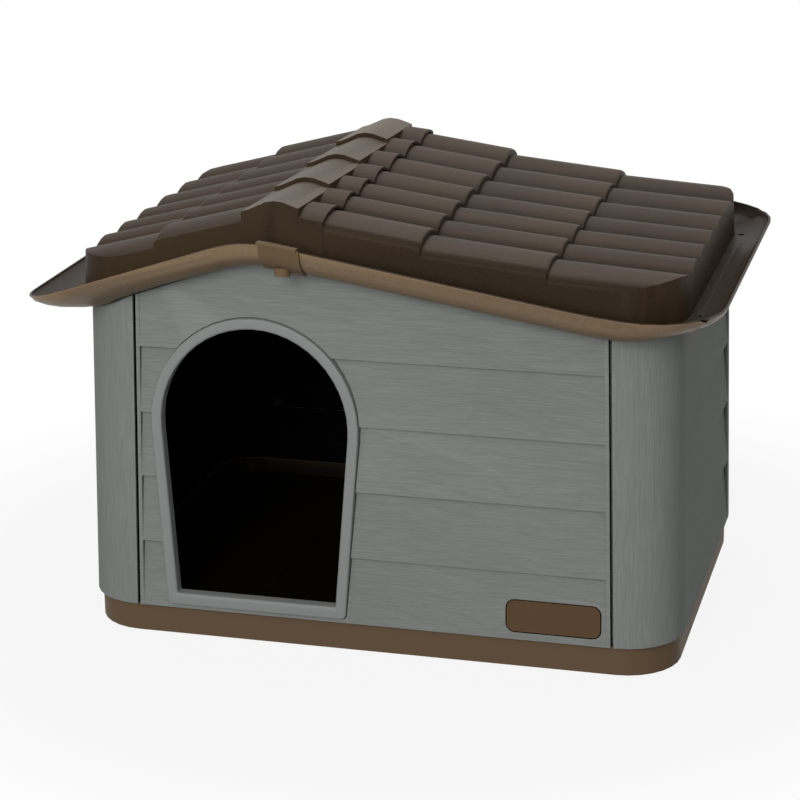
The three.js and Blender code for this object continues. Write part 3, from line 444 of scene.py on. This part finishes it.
def roofPlastic(look):
    material, tree, shader, place, facing = startMaterial("roofPlastic")
    skin = useGroup(tree, pebbleSkin, Place=place, Scale=look["grain"])
    zones = useGroup(tree, roofZones, Place=place, Facing=facing)
    gutter, upwards, bands = zones["Gutter"], zones["Upwards"], roofBands
    steepShade = fall(tree, upwards, *bands["steepShade"])
    under = fall(tree, upwards, *bands["under"])
    # Painted light and shade on each tile row: paler crests as a painted highlight, darker valleys
    # as painted shade.
    crestHighlight = calc(tree, "MULTIPLY", ramp(tree, zones["Row"], *bands["crestStart"]),
                 fall(tree, zones["Row"], *bands["crestEnd"]))
    valley = calc(tree, "MAXIMUM", fall(tree, zones["Row"], *bands["valleyEnd"]),
                  ramp(tree, zones["Row"], *bands["valleyStart"]))
    rowLightShade = calc(tree, "MULTIPLY_ADD", crestHighlight, look["crestHighlight"],
                   calc(tree, "MULTIPLY_ADD", valley, -look["valley"], 1.0))
    rows = shaded(tree, linear(look["tiles"]), rowLightShade)
    # Painted highlight: the up-facing tops of the ridge caps take a lighter colour.
    nearRidge = calc(tree, "LESS_THAN", gap(tree, zones["Sideways"], house["capX"]),
                     house["capHalf"])
    capSheenMask = calc(tree, "MULTIPLY", nearRidge, ramp(tree, upwards, *bands["cap"]))
    tiles = blendColour(tree, capSheenMask, rows, linear(look["cap"]))
    # Painted shade: steep faces, the skirt among them, take the darker skirt colour.
    tiles = blendColour(tree, steepShade, tiles, linear(look["skirt"]))
    # Painted light and shade: the gutter's outside is lighter than the tiles of the same plastic,
    # and its trough darker.
    outer = blendColour(tree, zones["Trough"], linear(look["gutter"]), linear(look["trough"]))
    # Painted shade: a dark disc over each drain hole.
    outer = blendColour(tree, zones["Drain"], outer, linear(look["holeShade"]))
    base = blendColour(tree, gutter, tiles, outer)
    # Painted shade: faces that look down, apart from the gutter, are darkened.
    shadeMask = calc(tree, "MULTIPLY", under, calc(tree, "SUBTRACT", 1.0, gutter))
    base = blendColour(tree, shadeMask, base, linear(look["inside"]))
    colour = useGroup(tree, cloudTone, Color=base, Place=place, Amount=look["clouds"],
                      Tone=skin["Tone"], Contrast=look["contrast"], Edges=look["edges"])["Color"]
    lip = calc(tree, "SUBTRACT", gutter, zones["Trough"])
    setInputs(tree, shader, {
        "Base Color": colour,
        "Roughness": ramp(tree, gutter, 0.0, 1.0, look["rough"], look["gutterRough"]),
        "Specular IOR Level": ramp(tree, lip, 0.0, 1.0, look["gloss"], look["gutterGloss"]),
        "Normal": bump(tree, skin["Height"], look["relief"])})
    return material


# In each look, the colour multiplied in inside the house, the tray or under the roof is painted
# shade.
wallLook = {"colour": "#797c79", "inside": "#151515", "streaks": 900.0, "lines": 7.0,
            "postStreaks": 700.0, "postLines": 6.0, "postPiece": 7.7, "cloudSize": 3.5,
            "clouds": 0.08, "contrast": 0.3, "edges": 0.15, "rough": 0.5, "relief": 0.00025,
            "gloss": 0.02}
frameLook = {"colour": "#818482", "grain": 900.0, "clouds": 0.04, "contrast": 0.05,
             "edges": 0.15, "rough": 0.45, "relief": 0.00005, "gloss": 0.15}
# In roofLook, the cap and gutter colours and the crest share are painted light; the skirt, trough
# and hole colours, the valley share and the colour multiplied in underneath are painted shade.
roofLook = {"tiles": "#3d3226", "cap": "#61584e", "skirt": "#32271a", "gutter": "#6d5a43",
            "trough": "#31271e", "holeShade": "#060505", "inside": "#17120d", "crestHighlight": 0.22,
            "valley": 0.4, "grain": 520.0, "clouds": 0.08, "contrast": 0.5, "edges": 0.35,
            "rough": 0.5, "gutterRough": 0.38, "relief": 0.0004, "gloss": 0.06,
            "gutterGloss": 0.3}
couplerLook = {"colour": "#604e38", "grain": 800.0, "clouds": 0.05, "contrast": 0.06,
               "edges": 0.3, "rough": 0.42, "relief": 0.00008, "gloss": 0.15}
baseLook = {"colour": "#5e4c39", "inside": "#332a25", "grain": 700.0, "clouds": 0.07,
            "contrast": 0.1, "edges": 0.12, "rough": 0.56, "relief": 0.0002, "gloss": 0.12}
plateLook = {"colour": "#54402c", "grain": 800.0, "clouds": 0.05, "contrast": 0.15,
             "edges": 0.2, "rough": 0.5, "relief": 0.0001, "gloss": 0.12}
pinLook = {"colour": "#0f100f", "grain": 900.0, "clouds": 0.03, "contrast": 0.04,
           "edges": 0.2, "rough": 0.5, "relief": 0.00005, "gloss": 0.1}
rubberLook = {"colour": "#2b2a29", "grain": 500.0, "clouds": 0.08, "contrast": 0.15,
              "edges": 0.2, "rough": 0.75, "relief": 0.0002, "gloss": 0.3}

finishes = {
    "wall_plastic": wallPlastic(wallLook),
    "frame_plastic": smoothPlastic("doorFramePlastic", frameLook),
    "roof_plastic": roofPlastic(roofLook),
    "coupler_plastic": smoothPlastic("couplerPlastic", couplerLook),
    "base_plastic": smoothPlastic("basePlastic", baseLook),
    "plate_plastic": smoothPlastic("platePlastic", plateLook),
    "pin_plastic": smoothPlastic("pinPlastic", pinLook),
    "foot_rubber": smoothPlastic("footRubber", rubberLook),
}
print("Materials made:", ", ".join(finishes))


# Edge rounding in metres, then the least distance between corners and the angles over which an
# edge counts as sharp or is kept at all.
edgeRounding = {
    "roof_left_half": 0.0012, "roof_right_half": 0.0012, "base_tray": 0.0015,
    "front_panel": 0.0009, "back_panel": 0.0009, "left_side_panel": 0.0009,
    "right_side_panel": 0.0009, "door_frame": 0.0006, "name_plate": 0.0006,
    "gutter_coupler_front": 0.0005, "gutter_coupler_rear": 0.0005,
}
rounding = {"other": 0.0004, "shortest": 0.0003, "sharpAngle": math.radians(34),
            "flatAngle": math.radians(0.6), "segments": 2, "faceWeight": 100}

# The right roof half's long edges between tiles and skirt, at the front and the back, are cut at
# these distances from the edge and bent down to a radius.
verge = {"node": "roof_right_half", "radius": 0.007, "cuts": [0.0007, 0.002, 0.0045, 0.007],
         "faceUp": 0.5, "skirtLevel": 0.4645, "skirtDraft": 0.05, "tolerance": 0.0001,
         "snap": 1e-6}


def roundVerge(skin):
    for sideY in (-1, 1):
        normal = (0, sideY, verge["skirtDraft"])
        for inset in verge["cuts"]:
            faces = [face for face in skin.faces if face.normal.z > verge["faceUp"]]
            edges = {edge for face in faces for edge in face.edges}
            bmesh.ops.bisect_plane(
                skin, geom=faces + list(edges), dist=verge["snap"], plane_no=normal,
                plane_co=(0, sideY * (house["skirtHalfY"] - inset), verge["skirtLevel"]))
    tops = {vert for face in skin.faces if face.normal.z > verge["faceUp"] for vert in face.verts}
    for vert in tops:
        x, y, z = vert.co
        rise = verge["skirtDraft"] * (z - verge["skirtLevel"])
        past = verge["radius"] - (house["skirtHalfY"] - rise - abs(y))
        if z > verge["skirtLevel"] and 0 < past <= verge["radius"] + verge["tolerance"]:
            past = min(past, verge["radius"])
            drop = verge["radius"] - math.sqrt(verge["radius"] ** 2 - past ** 2)
            vert.co.z -= drop
            vert.co.y += math.copysign(drop * verge["skirtDraft"], y)


def softenedPiece(nodeName, body, slotName):
    # The node's own shape as one welded skin, its edges rounded as a moulding's are.
    piece = bpy.data.objects.new(nodeName + "_moulding", frame["nodes"][nodeName].data.copy())
    scene.collection.objects.link(piece)
    mesh = piece.data
    skin = bmesh.new()
    skin.from_mesh(mesh)
    bmesh.ops.remove_doubles(skin, verts=skin.verts, dist=rounding["shortest"])
    bmesh.ops.dissolve_limit(skin, angle_limit=rounding["flatAngle"], verts=skin.verts,
                             edges=skin.edges)
    if nodeName == verge["node"]:
        roundVerge(skin)
    skin.normal_update()
    for face in skin.faces:
        face.smooth = True
    for edge in skin.edges:
        shallow = edge.calc_face_angle(0) < rounding["sharpAngle"]
        edge.smooth = len(edge.link_faces) == 2 and shallow
    skin.to_mesh(mesh)
    skin.free()
    if "custom_normal" in mesh.attributes:
        mesh.attributes.remove(mesh.attributes["custom_normal"])
    mesh.materials.clear()
    mesh.materials.append(finishes[slotName])
    bevel = piece.modifiers.new("edges", "BEVEL")
    bevel.width = edgeRounding.get(nodeName, rounding["other"])
    bevel.segments = rounding["segments"]
    bevel.limit_method = "ANGLE"
    bevel.angle_limit = rounding["sharpAngle"]
    weighted = piece.modifiers.new("shading", "WEIGHTED_NORMAL")
    weighted.keep_sharp = False
    weighted.weight = rounding["faceWeight"]
    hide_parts(nodeName)
    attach(piece, body)


nodeSlots = {entry["node"]: entry["material_slot"] for entry in frame["record"]["subparts"]}
for bodyName, members in frame["record"]["behaviour"]["bodies"].items():
    for member in members:
        softenedPiece(member, bodyName, nodeSlots[member])
print("Pieces made:", len(nodeSlots))


def seenDirectly(tree):
    # 1 for rays from the camera and for the rays that a mirror or glass sends on.
    light = put(tree, "ShaderNodeLightPath").outputs
    return calc(tree, "MAXIMUM", light["Is Camera Ray"],
                calc(tree, "MAXIMUM", light["Is Glossy Ray"], light["Is Transmission Ray"]))


# Shade of grey in the light, the share of pure white mixed in near the house, and the distances
# in metres between which that share grows to 1.
floorLook = {"half": 30.0, "level": -0.0002, "shade": 0.3, "rough": 0.9, "gloss": 0.1,
             "lift": 0.9, "fadeStart": 0.55, "fadeEnd": 1.0}


def makeFloor(look):
    mesh = bpy.data.meshes.new("floor")
    half = look["half"]
    mesh.from_pydata([(-half, -half, 0), (half, -half, 0), (half, half, 0), (-half, half, 0)],
                     [], [(0, 1, 2, 3)])
    floor = bpy.data.objects.new("floor", mesh)
    scene.collection.objects.link(floor)
    floor.location.z = look["level"]
    material, tree, shader, place = startMaterial("paleFloor")[:4]
    setInputs(tree, shader, {"Base Color": (*[look["shade"]] * 3, 1),
                             "Roughness": look["rough"], "Specular IOR Level": look["gloss"]})
    distance = put(tree, "ShaderNodeVectorMath", {0: place}, operation="LENGTH").outputs["Value"]
    away = ramp(tree, distance, look["fadeStart"], look["fadeEnd"], look["lift"], 1.0)
    white = put(tree, "ShaderNodeEmission", {"Color": (1, 1, 1, 1), "Strength": 1.0}).outputs[0]
    lifted = calc(tree, "MULTIPLY", away, seenDirectly(tree))
    mixed = put(tree, "ShaderNodeMixShader", {0: lifted, 1: shader.outputs[0],
                                              2: white}).outputs[0]
    tree.links.new(mixed, tree.nodes["Material Output"].inputs["Surface"])
    mesh.materials.append(material)


worldLook = {"colour": (1.0, 1.0, 1.0, 1.0), "sides": 0.02, "front": 0.6, "back": 0.35,
             "above": 0.25}


def makeWorld(look):
    world = bpy.data.worlds.new("studio")
    world.use_nodes = True
    tree = world.node_tree
    direction = axes(tree, put(tree, "ShaderNodeTexCoord").outputs["Generated"])
    strength = look["sides"]
    for axis, turn, name in ((1, -1.0, "front"), (1, 1.0, "back"), (2, 1.0, "above")):
        facing = calc(tree, "MAXIMUM", calc(tree, "MULTIPLY", direction[axis], turn), 0.0)
        strength = calc(tree, "MULTIPLY_ADD", facing, look[name], strength)
    room = put(tree, "ShaderNodeBackground", {"Color": look["colour"],
                                              "Strength": strength}).outputs[0]
    white = put(tree, "ShaderNodeBackground", {"Color": (1, 1, 1, 1), "Strength": 1.0}).outputs[0]
    mixed = put(tree, "ShaderNodeMixShader", {0: seenDirectly(tree), 1: room,
                                              2: white}).outputs[0]
    tree.links.new(mixed, tree.nodes["World Output"].inputs["Surface"])
    scene.world = world


lamps = {
    "softFront": {"place": (-0.2, -3.6, 1.7), "target": (0, 0, 0.3), "size": (1.6, 1.6),
                  "power": 78.0},
    "softTop": {"place": (-0.4, 1.6, 3.0), "target": (0, 0, 0.4), "size": (2.0, 2.0),
                "power": 34.0},
}


def makeLamp(name, look):
    data = bpy.data.lights.new(name, "AREA")
    data.energy = look["power"]
    data.shape = "RECTANGLE"
    data.size, data.size_y = look["size"]
    lamp = bpy.data.objects.new(name, data)
    lamp.location = look["place"]
    aim = Vector(look["target"]) - Vector(look["place"])
    lamp.rotation_euler = aim.to_track_quat("-Z", "Y").to_euler()
    scene.collection.objects.link(lamp)


cameraLook = {"place": (0.79856, -3.04691, 1.29028), "yaw": 15.167, "pitch": 18.115,
              "roll": -0.816, "lens": 107.4}


def makeCamera(look):
    data = bpy.data.cameras.new("camera")
    data.lens = look["lens"]
    data.clip_end = 100
    camera = bpy.data.objects.new("camera", data)
    turn = (Matrix.Rotation(math.radians(look["yaw"]), 4, "Z")
            @ Matrix.Rotation(math.radians(90 - look["pitch"]), 4, "X")
            @ Matrix.Rotation(math.radians(look["roll"]), 4, "Z"))
    camera.matrix_world = Matrix.Translation(look["place"]) @ turn
    scene.collection.objects.link(camera)
    scene.camera = camera


makeFloor(floorLook)
makeWorld(worldLook)
for lampName, lampLook in lamps.items():
    makeLamp(lampName, lampLook)
makeCamera(cameraLook)
scene.view_settings.view_transform = "Standard"
print("Floor, lights and camera made")
